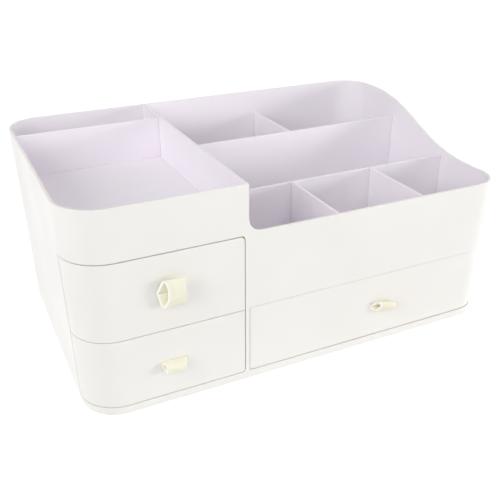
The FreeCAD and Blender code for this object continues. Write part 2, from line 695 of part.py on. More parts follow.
def foot_places():
    """Label, X and Y of each foot."""
    edge = f"({lean('P.bottom_z')} + S.foot_inset)"
    left, right = f"P.case_left + {edge}", f"P.case_right - {edge}"
    front, back = f"P.case_front + {edge}", f"P.case_back - {edge}"
    return [("foot_front_left", left, front), ("foot_front_right", right, front),
            ("foot_rear_left", left, back), ("foot_rear_right", right, back)]


def make_base_plate():
    body = new_body("base_plate")
    plan = new_sketch(body, "plan", "XY_Plane", "P.base_z")
    case_plan(plan, wall_inset("P.base_z", "S.fit_gap"))
    pad(plan, "S.base_thickness")
    runners = new_sketch(body, "runners", "XY_Plane", "P.base_top")
    draw_runners(runners, LEFT_BAY_MIDDLE, "S.left_runner_reach")
    draw_runners(runners, WIDE_BAY_MIDDLE, "S.wide_runner_reach")
    pad(runners, "P.low_front_z + S.tub_lift - S.runner_gap - P.base_top")
    cut_tongue_slots(body, "slots", "P.base_top", "S.base_thickness",
                     [("YZ_Plane", "P.divide_left", "S.wall",
                       CENTRE_WALL_CORNERS[0][0], CENTRE_WALL_CORNERS[1][0])])
    recesses = new_sketch(body, "foot_recesses", "XY_Plane", "P.base_z")
    for label, x, y in foot_places():
        draw_circle(recesses, x, y, "S.foot_radius + S.fit_gap")
    pocket(recesses, "S.foot_recess", up=True)
    return body


def make_feet():
    made = []
    for label, x, y in foot_places():
        foot = document.addObject("Part::Cylinder", label)
        foot.Label = label
        foot.setExpression("Radius", "Sizes.foot_radius")
        foot.setExpression("Height", full("S.foot_stand + S.base_lift + S.foot_recess"))
        foot.setExpression("Placement.Base.x", full(x))
        foot.setExpression("Placement.Base.y", full(y))
        made.append(foot)
    return made


# Drawers

class Drawer:
    """The places of one drawer, as expressions."""

    def __init__(self, name, front_z, front_top, recess, tab_x, peg_reach, on_left):
        self.name = name
        self.front_z = front_z
        self.front_top = front_top
        self.recess = recess
        self.tab_x = tab_x
        self.peg_reach = peg_reach
        self.on_left = on_left
        self.slot_z = f"P.{name}_slot_z"
        self.tub_z = f"({front_z} + S.tub_lift)"
        self.tub_top = f"({front_top} - S.tub_drop)"
        self.front_inset = f"({lean(front_z)} + {recess} + S.front_wall + S.tub_front_gap)"
        self.tub_front_y = f"(P.case_front + {self.front_inset})"
        self.tub_inside_y = f"({self.tub_front_y} + S.tub_wall)"
        self.keeper_y = f"({self.tub_inside_y} + S.strap_thickness)"
        self.face_y = f"(P.case_front + {lean(self.slot_z)} + {recess})"

    def size(self, word):
        return f"S.{self.name}_tab_{word}"

    def peg_places(self):
        return [(f"{self.tab_x} + {across} * {self.peg_reach}", f"{self.slot_z} + {up} * S.peg_rise")
                for across in (-1, 1) for up in (-1, 1)]

    def keeper_peg_places(self):
        return [(f"{self.tab_x} + {side} * S.keeper_peg_reach", self.slot_z) for side in (-1, 1)]

    def slot(self):
        half = "(S.strap_width / 2 + S.slot_gap)"
        rise = "(S.strap_thickness + S.slot_gap)"
        return (f"{self.tab_x} - {half}", f"{self.tab_x} + {half}",
                f"{self.slot_z} - {rise}", f"{self.slot_z} + {rise}")


DRAWERS = [
    Drawer("upper", "P.upper_front_z", "P.upper_front_top", "S.left_front_recess",
           "P.left_tab_x", "S.left_peg_reach", True),
    Drawer("lower", "P.low_front_z", "P.lower_front_top", "S.left_front_recess",
           "P.left_tab_x", "S.left_peg_reach", True),
    Drawer("wide", "P.low_front_z", "P.wide_front_top", "S.wide_front_recess",
           "P.wide_tab_x", "S.wide_peg_reach", False),
]


def round_free_corner(body, drawer, side):
    """Rounds the corner that the two left fronts turn to the mullion, at the top or the bottom."""
    level, out = (drawer.front_top, 1) if drawer.name == "upper" else (drawer.front_z, -1)
    sketch = new_sketch(body, "corner", "XZ_Plane", f"P.case_front - {MARGIN}")
    below = f"{level} - {out} * S.front_corner"
    beyond = f"{level} + {out} * {MARGIN}"
    draw_outline(sketch, [(f"{side} - S.front_corner", level), (side, below), (f"{side} + {MARGIN}", below),
                          (f"{side} + {MARGIN}", beyond), (f"{side} - S.front_corner", beyond)],
                 {0: ("S.front_corner", -out)})
    pocket(sketch, f"{drawer.front_inset} + {MARGIN}")


def make_drawer_front(drawer):
    body = new_body(f"{drawer.name}_drawer_front")
    outer_inset = f"({lean(drawer.front_top)} + {drawer.recess})"
    outside = new_sketch(body, "outside", "XY_Plane", drawer.front_top)
    case_plan(outside, outer_inset)
    pad(outside, f"{drawer.front_top} - {drawer.front_z}", down=True, leaning=True)
    inside = new_sketch(body, "inside", "XY_Plane", drawer.front_top)
    case_plan(inside, f"({outer_inset} + S.front_wall)")
    pocket(inside, f"{drawer.front_top} - {drawer.front_z} + {MARGIN}", leaning=True)

    trim = new_sketch(body, "trim", "XY_Plane", drawer.front_top)
    beyond = {"left": f"P.case_left - {MARGIN}", "right": f"P.case_right + {MARGIN}",
              "front": f"P.case_front - {MARGIN}", "back": f"P.case_back + {MARGIN}"}
    if drawer.on_left:
        side, wrap, far, near = "P.mullion_left - S.seam", "P.left_wrap_y - S.wrap_seam", "right", "left"
    else:
        side, wrap, far, near = "P.mullion_right + S.seam", "P.right_wrap_y - S.wrap_seam", "left", "right"
    draw_outline(trim, [(side, beyond["front"]), (beyond[far], beyond["front"]),
                        (beyond[far], beyond["back"]), (beyond[near], beyond["back"]),
                        (beyond[near], wrap), (side, wrap)])
    pocket(trim, f"{drawer.front_top} - {drawer.front_z} + {MARGIN}")

    if drawer.on_left:
        round_free_corner(body, drawer, side)
    boss_length = f"S.tub_front_gap + P.slope * ({drawer.front_top} - {drawer.front_z}) + S.front_wall / 4"
    bosses = new_sketch(body, "bosses", "XZ_Plane", drawer.tub_front_y)
    pegs = new_sketch(body, "pegs", "XZ_Plane", drawer.tub_front_y)
    for x, z in drawer.peg_places():
        draw_circle(bosses, x, z, "S.boss_radius")
        draw_circle(pegs, x, z, "S.peg_radius")
    pad(bosses, boss_length)
    pad(pegs, "S.tub_wall", down=True)
    slot = new_sketch(body, "slot", "XZ_Plane", f"P.case_front - {MARGIN}")
    draw_rectangle(slot, *drawer.slot())
    pocket(slot, f"{drawer.front_inset} + {MARGIN}")
    return body


def make_drawer_tub(drawer):
    body = new_body(f"{drawer.name}_drawer_tub")
    side_inset = wall_inset(drawer.tub_z, "S.tub_side_gap")
    back = inside_back(drawer.tub_z, "S.tub_rear_gap")
    if drawer.on_left:
        left, right = f"P.case_left + {side_inset}", "P.divide_left - S.tub_side_gap"
        radii = [f"S.corner_front_left - {drawer.front_inset}", "S.tub_corner",
                 "S.tub_corner", f"S.corner_rear - {side_inset}"]
    else:
        left, right = "P.divide_right + S.tub_side_gap", f"P.case_right - {side_inset}"
        radii = ["S.tub_corner", f"S.corner_front_right - {drawer.front_inset}",
                 f"S.corner_rear - {side_inset}", "S.tub_corner"]
    outside = new_sketch(body, "outside", "XY_Plane", drawer.tub_z)
    draw_rounded(outside, left, right, drawer.tub_front_y, back, radii)
    pad(outside, f"{drawer.tub_top} - {drawer.tub_z}")
    inside = new_sketch(body, "inside", "XY_Plane", drawer.tub_top)
    draw_rounded(inside, f"{left} + S.tub_wall", f"{right} - S.tub_wall",
                 f"{drawer.tub_front_y} + S.tub_wall", f"{back} - S.tub_wall",
                 [f"{radius} - S.tub_wall" for radius in radii])
    pocket(inside, f"{drawer.tub_top} - {drawer.tub_z} - S.tub_floor")
    holes = new_sketch(body, "holes", "XZ_Plane", f"{drawer.tub_front_y} - {MARGIN}")
    draw_rectangle(holes, *drawer.slot())
    for x, z in drawer.peg_places():
        draw_circle(holes, x, z, "S.peg_radius + S.peg_gap")
    for x, z in drawer.keeper_peg_places():
        draw_circle(holes, x, z, "S.keeper_peg_radius + S.peg_gap")
    pocket(holes, f"S.tub_wall + S.tub_wall / 2 + {MARGIN}")
    return body


def make_pull_tab(drawer):
    """A folded strap: an open loop outside, a neck through the slot and two tails inside."""
    body = new_body(f"{drawer.name}_pull_tab")
    start_x = f"{drawer.tab_x} - S.strap_width / 2"

    def turned(out, up):
        """A place in the loop, turned up by the tilt about the middle of the slot's mouth."""
        tilt = drawer.size("tilt")
        return (f"{drawer.face_y} - (({out}) * cos({tilt}) - ({up}) * sin({tilt}))",
                f"{drawer.slot_z} + (({out}) * sin({tilt}) + ({up}) * cos({tilt}))")

    def place(word):
        return f"P.{drawer.name}_{word}"

    crease = drawer.size("crease")
    inner_crease = f"{place('mouth')} + {place('run')} * {place('out')}"
    inner_half = f"{place('run')} * {place('up')}"
    loop = new_sketch(body, "loop", "YZ_Plane", start_x)
    draw_outline(loop, [(drawer.face_y, f"{drawer.slot_z} - S.strap_thickness"),
                        (drawer.face_y, f"{drawer.slot_z} + S.strap_thickness"),
                        turned(crease, place("half")), turned(crease, f"-{place('half')}")],
                 {2: (place("radius"), +1)})
    draw_outline(loop, [turned(place("mouth"), "0"), turned(inner_crease, inner_half),
                        turned(inner_crease, f"-{inner_half}")],
                 {1: (f"{place('radius')} - S.strap_thickness", +1)})
    pad(loop, "S.strap_width")

    neck = new_sketch(body, "neck", "YZ_Plane", start_x)
    draw_rectangle(neck, drawer.face_y, drawer.keeper_y,
                   f"{drawer.slot_z} - S.strap_thickness", f"{drawer.slot_z} + S.strap_thickness")
    pad(neck, "S.strap_width")
    tails = new_sketch(body, "tails", "YZ_Plane", start_x)
    draw_rectangle(tails, drawer.tub_inside_y, drawer.keeper_y,
                   f"{drawer.slot_z} - S.tail_length", f"{drawer.slot_z} + S.tail_length")
    pad(tails, "S.strap_width")

    trims = new_sketch(body, "side_trims", "XY_Plane", f"{drawer.slot_z} + {drawer.size('height')}")
    reach_y = f"{drawer.face_y} - {drawer.size('reach')} - {MARGIN}"
    start_y = f"{drawer.face_y} - S.strap_thickness"
    run = f"({drawer.size('reach')} - S.strap_thickness)"
    slant = f"S.strap_taper * ({run} + {MARGIN}) / {run}"
    for side in (-1, 1):
        edge = f"{drawer.tab_x} + {side} * S.strap_width / 2"
        draw_outline(trims, [(edge, start_y), (edge, reach_y), (f"{edge} - {side} * {slant}", reach_y)])
    pocket(trims, f"2 * {drawer.size('height')}")
    return body


def make_tab_keeper(drawer):
    body = new_body(f"{drawer.name}_tab_keeper")
    plate = new_sketch(body, "plate", "XZ_Plane", drawer.keeper_y)
    draw_rectangle(plate, f"{drawer.tab_x} - S.keeper_width / 2", f"{drawer.tab_x} + S.keeper_width / 2",
                   f"{drawer.slot_z} - S.keeper_height / 2", f"{drawer.slot_z} + S.keeper_height / 2")
    pad(plate, "S.keeper_thickness", down=True)
    pegs = new_sketch(body, "pegs", "XZ_Plane", drawer.keeper_y)
    for x, z in drawer.keeper_peg_places():
        draw_circle(pegs, x, z, "S.keeper_peg_radius")
    pad(pegs, "S.strap_thickness + S.tub_wall")
    return body


# Build, check and write every piece

pieces = [make_outer_case(), make_base_plate(), make_centre_wall(), make_tray_deck(),
          make_compartment_deck(), make_drawer_shelf()]
pieces += make_dividers()
for drawer in DRAWERS:
    pieces += [make_drawer_tub(drawer), make_drawer_front(drawer),
               make_pull_tab(drawer), make_tab_keeper(drawer)]
pieces += make_feet()
document.recompute()

for item in document.Objects:
    if "Invalid" in item.State or "Error" in item.State:
        raise RuntimeError(f"{item.Name} failed: {item.State}")
for piece in pieces:
    if piece.Shape.isNull() or not piece.Shape.isValid() or len(piece.Shape.Solids) != 1:
        raise RuntimeError(f"{piece.Label} is not one valid solid")

os.makedirs("parts", exist_ok=True)
for piece in pieces:
    box = piece.Shape.BoundBox
    print(f"{piece.Label:26s} {piece.Shape.Volume / 1000:8.2f} cm3  X {box.XMin:7.2f} {box.XMax:7.2f}"
          f"  Y {box.YMin:7.2f} {box.YMax:7.2f}  Z {box.ZMin:7.2f} {box.ZMax:7.2f}")
    piece.Shape.exportStep(f"parts/{piece.Label}.step")
print(f"{len(pieces)} pieces")
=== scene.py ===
# %% [markdown]
# A desktop box for cosmetics, dressed for its picture.
# The shapes come from a CAD model, which is loaded first and never moved. This file gives the pieces rounded
# edges, their plastic, leather and rubber, the lamps and the camera. Lengths are in metres throughout, with +Z up
# and the drawer fronts facing -Y. Each step is a cell, and the cells run in order.

# %% Load the fixed frame
import json
import math

import bmesh
import bpy
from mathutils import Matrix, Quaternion, Vector

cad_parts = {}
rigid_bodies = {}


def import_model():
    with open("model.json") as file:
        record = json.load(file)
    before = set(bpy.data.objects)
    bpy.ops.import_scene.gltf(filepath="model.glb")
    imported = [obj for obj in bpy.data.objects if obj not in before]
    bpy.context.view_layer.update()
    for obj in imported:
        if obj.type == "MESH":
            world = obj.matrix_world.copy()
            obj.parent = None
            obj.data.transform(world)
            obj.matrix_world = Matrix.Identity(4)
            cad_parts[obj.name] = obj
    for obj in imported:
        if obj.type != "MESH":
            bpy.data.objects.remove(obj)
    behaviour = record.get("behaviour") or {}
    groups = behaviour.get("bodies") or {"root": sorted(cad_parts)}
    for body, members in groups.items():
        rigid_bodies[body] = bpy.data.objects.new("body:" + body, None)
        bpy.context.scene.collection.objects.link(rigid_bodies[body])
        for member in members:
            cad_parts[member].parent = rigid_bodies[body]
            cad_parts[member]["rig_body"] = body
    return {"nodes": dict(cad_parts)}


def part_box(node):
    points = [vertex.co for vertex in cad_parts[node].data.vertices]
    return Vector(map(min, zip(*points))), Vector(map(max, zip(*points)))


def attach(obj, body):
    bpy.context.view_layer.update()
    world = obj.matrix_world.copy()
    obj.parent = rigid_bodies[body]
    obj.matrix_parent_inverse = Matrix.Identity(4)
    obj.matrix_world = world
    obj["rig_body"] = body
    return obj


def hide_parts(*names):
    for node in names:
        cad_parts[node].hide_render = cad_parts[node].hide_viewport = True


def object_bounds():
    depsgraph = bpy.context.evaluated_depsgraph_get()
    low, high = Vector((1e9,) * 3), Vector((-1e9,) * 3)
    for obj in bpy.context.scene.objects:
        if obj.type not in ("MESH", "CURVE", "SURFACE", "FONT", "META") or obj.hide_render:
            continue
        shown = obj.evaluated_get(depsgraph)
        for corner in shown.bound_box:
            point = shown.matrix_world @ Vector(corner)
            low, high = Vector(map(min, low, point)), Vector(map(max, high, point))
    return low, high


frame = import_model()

MM = 0.001
cad_box = [list(corner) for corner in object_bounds()]
print("nodes:", len(frame["nodes"]), "box in mm:", [[round(c / MM, 1) for c in corner] for corner in cad_box])

# %% [markdown]
# Most of the work below is wiring nodes, for materials and for geometry alike. Two helpers keep that short:
# one adds a node and sets its sockets, the other makes an empty group with named inputs and outputs.
# Reading the sockets by name keeps the wiring close to how an artist would describe it.

# %% Helpers for node trees
def add_node(tree, kind, links=None, **settings):
    """Adds a node, sets its attributes, and fills its inputs from values or other nodes' outputs."""
    node = tree.nodes.new(kind)
    for name, value in settings.items():
        setattr(node, name, value)
    for name, value in (links or {}).items():
        socket = node.inputs[name]
        if isinstance(value, bpy.types.NodeSocket):
            tree.links.new(value, socket)
        else:
            socket.default_value = value
    return node


def new_group(name, kind, inputs, outputs):
    """An empty node group. Inputs are (name, socket type, default), outputs are (name, socket type)."""
    tree = bpy.data.node_groups.new(name, kind)
    for label, socket_type, default in inputs:
        socket = tree.interface.new_socket(label, in_out="INPUT", socket_type=socket_type)
        if default is not None:
            socket.default_value = default
    for label, socket_type in outputs:
        tree.interface.new_socket(label, in_out="OUTPUT", socket_type=socket_type)
    return tree, tree.nodes.new("NodeGroupInput").outputs, tree.nodes.new("NodeGroupOutput")


def linear(red, green, blue):
    """A colour as it looks on screen, from 0 to 255, turned into the linear values that shaders use."""
    share = [channel / 255 for channel in (red, green, blue)]
    return [s / 12.92 if s <= 0.04045 else ((s + 0.055) / 1.055) ** 2.4 for s in share] + [1.0]

# %% [markdown]
# Moulded plastic is never quite even. Its skin has a fine ripple from the steel of the mould, its gloss changes
# in broad patches where hands have wiped it, and its tone drifts a little with the wall's thickness.
# One group gives all three, so each kind of plastic and the rubber can use it with values of its own.
# Painting these as images would need unwrapped surfaces, and procedural noise on object coordinates doesn't.

# %% Shared effect: a moulded skin
skin_tree, skin_in, skin_out = new_group(
    "moulded_skin", "ShaderNodeTree",
    [("Color", "NodeSocketColor", (0.8, 0.8, 0.8, 1.0)), ("Deep Color", "NodeSocketColor", (0.7, 0.7, 0.7, 1.0)),
     ("Patch Scale", "NodeSocketFloat", 14.0), ("Ripple Scale", "NodeSocketFloat", 900.0),
     ("Smoothest", "NodeSocketFloat", 0.3), ("Roughest", "NodeSocketFloat", 0.4)],
    [("Color", "NodeSocketColor"), ("Roughness", "NodeSocketFloat"), ("Height", "NodeSocketFloat")])
place = add_node(skin_tree, "ShaderNodeTexCoord").outputs["Object"]
patches = add_node(skin_tree, "ShaderNodeTexNoise", {"Vector": place, "Scale": skin_in["Patch Scale"], "Detail": 3.0})
ripple = add_node(skin_tree, "ShaderNodeTexNoise", {"Vector": place, "Scale": skin_in["Ripple Scale"], "Detail": 2.0})
spread = add_node(skin_tree, "ShaderNodeMapRange", {"Value": patches.outputs["Fac"], "From Min": 0.35, "From Max": 0.65})
tone = add_node(skin_tree, "ShaderNodeMix", {"Factor": spread.outputs["Result"]}, data_type="RGBA")
skin_tree.links.new(skin_in["Color"], tone.inputs["A"])
skin_tree.links.new(skin_in["Deep Color"], tone.inputs["B"])
gloss = add_node(skin_tree, "ShaderNodeMapRange",
                 {"Value": spread.outputs["Result"], "To Min": skin_in["Smoothest"], "To Max": skin_in["Roughest"]})
skin_tree.links.new(tone.outputs["Result"], skin_out.inputs["Color"])
skin_tree.links.new(gloss.outputs["Result"], skin_out.inputs["Roughness"])
skin_tree.links.new(ripple.outputs["Fac"], skin_out.inputs["Height"])


def moulded_material(name, color, deep, smoothest, roughest, ripple_scale, ripple_height, ior=1.49, specular=0.5):
    """A material of a moulded piece. Colours are screen values."""
    material = bpy.data.materials.new(name)
    material.use_nodes = True
    tree = material.node_tree
    shader = tree.nodes["Principled BSDF"]
    skin = add_node(tree, "ShaderNodeGroup", node_tree=skin_tree)
    settings = {"Color": linear(*color), "Deep Color": linear(*deep), "Smoothest": smoothest,
                "Roughest": roughest, "Ripple Scale": ripple_scale}
    for label, value in settings.items():
        skin.inputs[label].default_value = value
    bump = add_node(tree, "ShaderNodeBump",
                    {"Height": skin.outputs["Height"], "Distance": ripple_height, "Strength": 0.6})
    tree.links.new(skin.outputs["Color"], shader.inputs["Base Color"])
    tree.links.new(skin.outputs["Roughness"], shader.inputs["Roughness"])
    tree.links.new(bump.outputs["Normal"], shader.inputs["Normal"])
    shader.inputs["IOR"].default_value = ior
    shader.inputs["Specular IOR Level"].default_value = specular
    return material


case_plastic = moulded_material("case_plastic", (243, 242, 237), (241, 239, 234), 0.30, 0.38, 900, 0.00002)
# Painted shade: the pale plastic with the violet of the shaded inside painted in, for the case's inner faces, the
# dividers and the decks
plastic_with_painted_shade = moulded_material("plastic_with_painted_shade", (250, 246, 251), (248, 243, 249), 0.36, 0.46, 900, 0.00002)
tub_plastic = moulded_material("tub_plastic", (244, 241, 243), (240, 237, 240), 0.38, 0.50, 700, 0.00003)
keeper_plastic = moulded_material("keeper_plastic", (226, 224, 220), (218, 216, 211), 0.50, 0.62, 700, 0.00003)
foot_rubber = moulded_material("foot_rubber", (205, 203, 198), (190, 188, 183), 0.70, 0.85, 1500, 0.00008)
print("moulded materials:", [m.name for m in bpy.data.materials])

# %% [markdown]
# The CAD solids meet at knife edges, which no mould can make and which catch no light. The real box shows a thin
# bright line along each rim. A copy of each node is merged into one shell, its sharp edges are given a bevel weight,
# and the Bevel modifier rounds them by that weight. Weighted normals then keep the broad faces looking flat.
# Weights, and not one width for all, give the rims more than the drawer openings, whose seams are thin, leave small
# hidden features sharp, and give the tubs' floors a larger inner radius.
# The case's inner faces get a second, slightly cooler and violet colour, as the dividers do. It is painted shade: the
# case's own pale plastic, with the violet of the shade inside the box painted into its colour.

# %% Rounded copies of the moulded pieces
SHARP = math.radians(28)


def plain_mesh(piece, name):
    """The piece with its modifiers applied, as a new object. The first one is removed."""
    shape = bpy.data.meshes.new_from_object(piece.evaluated_get(bpy.context.evaluated_depsgraph_get()))
    shape.name = name
    bpy.data.objects.remove(piece)
    made = bpy.data.objects.new(name, shape)
    bpy.context.scene.collection.objects.link(made)
    return made


def outwards(place, normal):
    """1 where a wall faces straight away from the middle of the box, and -1 where it faces it."""
    flat = Vector((place.x, place.y, 0.0))
    return normal.dot(flat.normalized())


def rounded_copy(node, width, weigh, material, painted_shade_material=None):
    """Stands a copy with rounded edges in for a CAD node. Weigh gives an edge's weight from its middle and sides."""
    shape = frame["nodes"][node].data.copy()
    shell = bmesh.new()
    shell.from_mesh(shape)
    bmesh.ops.remove_doubles(shell, verts=shell.verts, dist=1e-6)
    bmesh.ops.dissolve_limit(shell, angle_limit=math.radians(0.2), verts=shell.verts, edges=shell.edges)
    weights = shell.edges.layers.float.new("bevel_weight_edge")
    count = 0
    for edge in shell.edges:
        if len(edge.link_faces) == 2 and edge.calc_face_angle() > SHARP:
            middle = (edge.verts[0].co + edge.verts[1].co) / 2
            edge[weights] = weigh(middle, [face.normal for face in edge.link_faces], edge)
            edge.smooth = edge[weights] > 0
            count += edge.smooth
    for face in shell.faces:
        face.smooth = True
        # Faces that face the middle of the box take the second material, whose violet colour is painted shade of the
        # inside
        face.material_index = int(painted_shade_material is not None and outwards(face.calc_center_median(), face.normal) < -0.2)
    shape.materials.clear()
    for finish in [material, painted_shade_material] if painted_shade_material else [material]:
        shape.materials.append(finish)
    shell.to_mesh(shape)
    shell.free()
    copy = bpy.data.objects.new(node + "_copy", shape)
    bpy.context.scene.collection.objects.link(copy)
    bevel = copy.modifiers.new("Round", "BEVEL")
    bevel.width = width
    bevel.segments = 3
    bevel.limit_method = "WEIGHT"
    bevel.use_clamp_overlap = False
    bevel.miter_outer = "MITER_ARC"
    weighted = copy.modifiers.new("Even normals", "WEIGHTED_NORMAL")
    weighted.keep_sharp = True
    piece = plain_mesh(copy, node + "_moulded")
    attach(piece, frame["nodes"][node]["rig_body"])
    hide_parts(node)
    print(f"{piece.name}: {count} edges rounded, {len(piece.data.polygons)} faces")
    return piece


def rim_and_openings(middle, normals, edge):
    """The case: full width at its rims and outer bottom edge, less at the openings, none at the nibs inside."""
    step_x, tray_seam_z, wide_seam_z = -48 * MM, 111.2 * MM, 60 * MM
    if middle.z > (tray_seam_z if middle.x < step_x else wide_seam_z):
        return 1.0
    if middle.z > 6 * MM:
        return 0.4
    return 1.0 if max(outwards(middle, normal) for normal in normals) > 0.5 and edge.calc_length() > 1.5 * MM else 0.0


def all_edges(middle, normals, edge):
    return 1.0


rounded_copy("outer_case", 0.5 * MM, rim_and_openings, case_plastic, plastic_with_painted_shade)
for node in ("upper_drawer_front", "lower_drawer_front", "wide_drawer_front"):
    rounded_copy(node, 0.2 * MM, all_edges, case_plastic)
for node in ("tray_rear_divider", "back_row_divider", "front_row_divider", "back_cell_divider",
             "front_cell_divider_left", "front_cell_divider_right"):
    rounded_copy(node, 0.4 * MM, all_edges, plastic_with_painted_shade)
rounded_copy("centre_wall", 0.4 * MM, all_edges, plastic_with_painted_shade)
for node in ("upper_tab_keeper", "lower_tab_keeper", "wide_tab_keeper"):
    rounded_copy(node, 0.3 * MM, all_edges, keeper_plastic)

# %% [markdown]
# A drawer's tub is a deep tray with thin walls. Its rim is just broken, but its floor meets the walls in a clear
# radius, inside and outside, so that the mould fills and small things don't catch in the corner.
# The same rounding does it, with a wide bevel that the rim only takes a quarter of.

# %% Rounded drawer tubs
FLOOR_RADIUS = 1.6 * MM


def tub_edges(node):
    low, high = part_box(node)
    inner_floor = low[2] + 1.8 * MM

    def weigh(middle, normals, edge):
        if middle.z > high[2] - 0.1 * MM:
            return 0.25
        if abs(middle.z - inner_floor) < 0.1 * MM:
            return 1.0
        return 0.6 if middle.z < low[2] + 0.1 * MM else 0.0
    return weigh


for node in ("upper_drawer_tub", "lower_drawer_tub", "wide_drawer_tub"):
    rounded_copy(node, FLOOR_RADIUS, tub_edges(node), tub_plastic)

# %% [markdown]
# The pull tabs are cut from cream imitation leather: a strap 18 mm wide is folded over, its two ends go through one
# slot, and a bar inside the drawer keeps them there. The skin has fine pores and a soft gloss, and the cut edges
# show the paler backing. Both materials share one group for the pores, which the edges only use faintly.

# %% Leather of the straps
pores_tree, pores_in, pores_out = new_group(
    "fine_pores", "ShaderNodeTree",
    [("Color", "NodeSocketColor", (0.8, 0.8, 0.7, 1.0)), ("Pore Color", "NodeSocketColor", (0.7, 0.7, 0.6, 1.0)),
     ("Pore Scale", "NodeSocketFloat", 1700.0), ("Pore Share", "NodeSocketFloat", 0.5),
     ("Roughness", "NodeSocketFloat", 0.5)],
    [("Color", "NodeSocketColor"), ("Roughness", "NodeSocketFloat"), ("Height", "NodeSocketFloat")])
place = add_node(pores_tree, "ShaderNodeTexCoord").outputs["Object"]
cells = add_node(pores_tree, "ShaderNodeTexVoronoi", {"Vector": place, "Scale": pores_in["Pore Scale"]},
                 feature="DISTANCE_TO_EDGE")
grain = add_node(pores_tree, "ShaderNodeMapRange", {"Value": cells.outputs["Distance"], "From Max": 0.25})
broad = add_node(pores_tree, "ShaderNodeTexNoise", {"Vector": place, "Scale": 160.0, "Detail": 3.0})
share = add_node(pores_tree, "ShaderNodeMath", {0: broad.outputs["Fac"], 1: pores_in["Pore Share"]},
                 operation="MULTIPLY")
tone = add_node(pores_tree, "ShaderNodeMix", {"Factor": share.outputs[0]}, data_type="RGBA")
pores_tree.links.new(pores_in["Color"], tone.inputs["A"])
pores_tree.links.new(pores_in["Pore Color"], tone.inputs["B"])
worn = add_node(pores_tree, "ShaderNodeMath", {0: broad.outputs["Fac"], 1: 0.12, 2: pores_in["Roughness"]},
                operation="MULTIPLY_ADD")
pores_tree.links.new(tone.outputs["Result"], pores_out.inputs["Color"])
pores_tree.links.new(worn.outputs[0], pores_out.inputs["Roughness"])
pores_tree.links.new(grain.outputs["Result"], pores_out.inputs["Height"])


def leather_material(name, color, pore_color, pore_share, roughness, depth):
    material = bpy.data.materials.new(name)
    material.use_nodes = True
    tree = material.node_tree
    shader = tree.nodes["Principled BSDF"]
    pores = add_node(tree, "ShaderNodeGroup", node_tree=pores_tree)
    settings = {"Color": linear(*color), "Pore Color": linear(*pore_color), "Pore Share": pore_share,
                "Roughness": roughness}
    for label, value in settings.items():
        pores.inputs[label].default_value = value
    bump = add_node(tree, "ShaderNodeBump", {"Height": pores.outputs["Height"], "Distance": depth, "Strength": 0.5})
    tree.links.new(pores.outputs["Color"], shader.inputs["Base Color"])
    tree.links.new(pores.outputs["Roughness"], shader.inputs["Roughness"])
    tree.links.new(bump.outputs["Normal"], shader.inputs["Normal"])
    shader.inputs["Specular IOR Level"].default_value = 0.4
    return material


strap_leather = leather_material("strap_leather", (247, 245, 224), (238, 235, 208), 0.5, 0.42, 0.00006)
strap_cut_edge = leather_material("strap_cut_edge", (252, 251, 240), (245, 243, 228), 0.3, 0.70, 0.00003)
print("leather materials:", strap_leather.name, strap_cut_edge.name)

# %% [markdown]
# Each strap is folded by hand, so the three loops differ: the upper one stands open, the lower one is pressed flat
# and droops, and the wide drawer's is half open. A flat strip that is swept along its fold makes all of them, and
# only the points of the fold change. The node tree rounds the folds, sweeps the strip with its rounded cut edges,
# slants the loop's ends inwards and pulls its right end further out, as a strap does that has been
# tugged with a finger from that side.

# %% Node tree: a folded strap
fold_tree, fold_in, fold_out = new_group(
    "folded_strap", "GeometryNodeTree",
    [("Fold", "NodeSocketGeometry", None), ("Slot Corner", "NodeSocketVector", None),
     ("Strap Width", "NodeSocketFloat", 0.018), ("Strap Thickness", "NodeSocketFloat", 0.0012),
     ("Edge Rounding", "NodeSocketFloat", 0.0003), ("Point Distance", "NodeSocketFloat", 0.0003),
     ("Left Slant", "NodeSocketFloat", 0.9), ("Right Slant", "NodeSocketFloat", 0.3),
     ("Right Depth", "NodeSocketFloat", 0.0025), ("Right Drop", "NodeSocketFloat", 0.0),
     ("Right Taper", "NodeSocketFloat", 0.0), ("Taper Height", "NodeSocketFloat", 0.0),
     ("Face Material", "NodeSocketMaterial", None), ("Edge Material", "NodeSocketMaterial", None)],
    [("Strap", "NodeSocketGeometry")])
path = add_node(fold_tree, "GeometryNodeMeshToCurve", {"Mesh": fold_in["Fold"]})
radius = add_node(fold_tree, "GeometryNodeInputNamedAttribute", {"Name": "fold_radius"}, data_type="FLOAT")
path = add_node(fold_tree, "GeometryNodeFilletCurve",
                {"Curve": path.outputs[0], "Count": 8, "Radius": radius.outputs["Attribute"], "Limit Radius": True},
                mode="POLY")
path = add_node(fold_tree, "GeometryNodeResampleCurve",
                {"Curve": path.outputs[0], "Length": fold_in["Point Distance"]}, mode="LENGTH")
path = add_node(fold_tree, "GeometryNodeSetCurveNormal", {"Curve": path.outputs[0], "Normal": (1.0, 0.0, 0.0)},
                mode="FREE")
strip = add_node(fold_tree, "GeometryNodeCurvePrimitiveQuadrilateral",
                 {"Width": fold_in["Strap Width"], "Height": fold_in["Strap Thickness"]})
strip = add_node(fold_tree, "GeometryNodeFilletCurve",
                 {"Curve": strip.outputs[0], "Count": 4, "Radius": fold_in["Edge Rounding"]}, mode="POLY")
strap = add_node(fold_tree, "GeometryNodeCurveToMesh",
                 {"Curve": path.outputs[0], "Profile Curve": strip.outputs[0], "Fill Caps": True})
strap = add_node(fold_tree, "GeometryNodeSetShadeSmooth", {"Geometry": strap.outputs[0]})
strap = add_node(fold_tree, "GeometryNodeSetMaterial",
                 {"Geometry": strap.outputs[0], "Material": fold_in["Face Material"]})

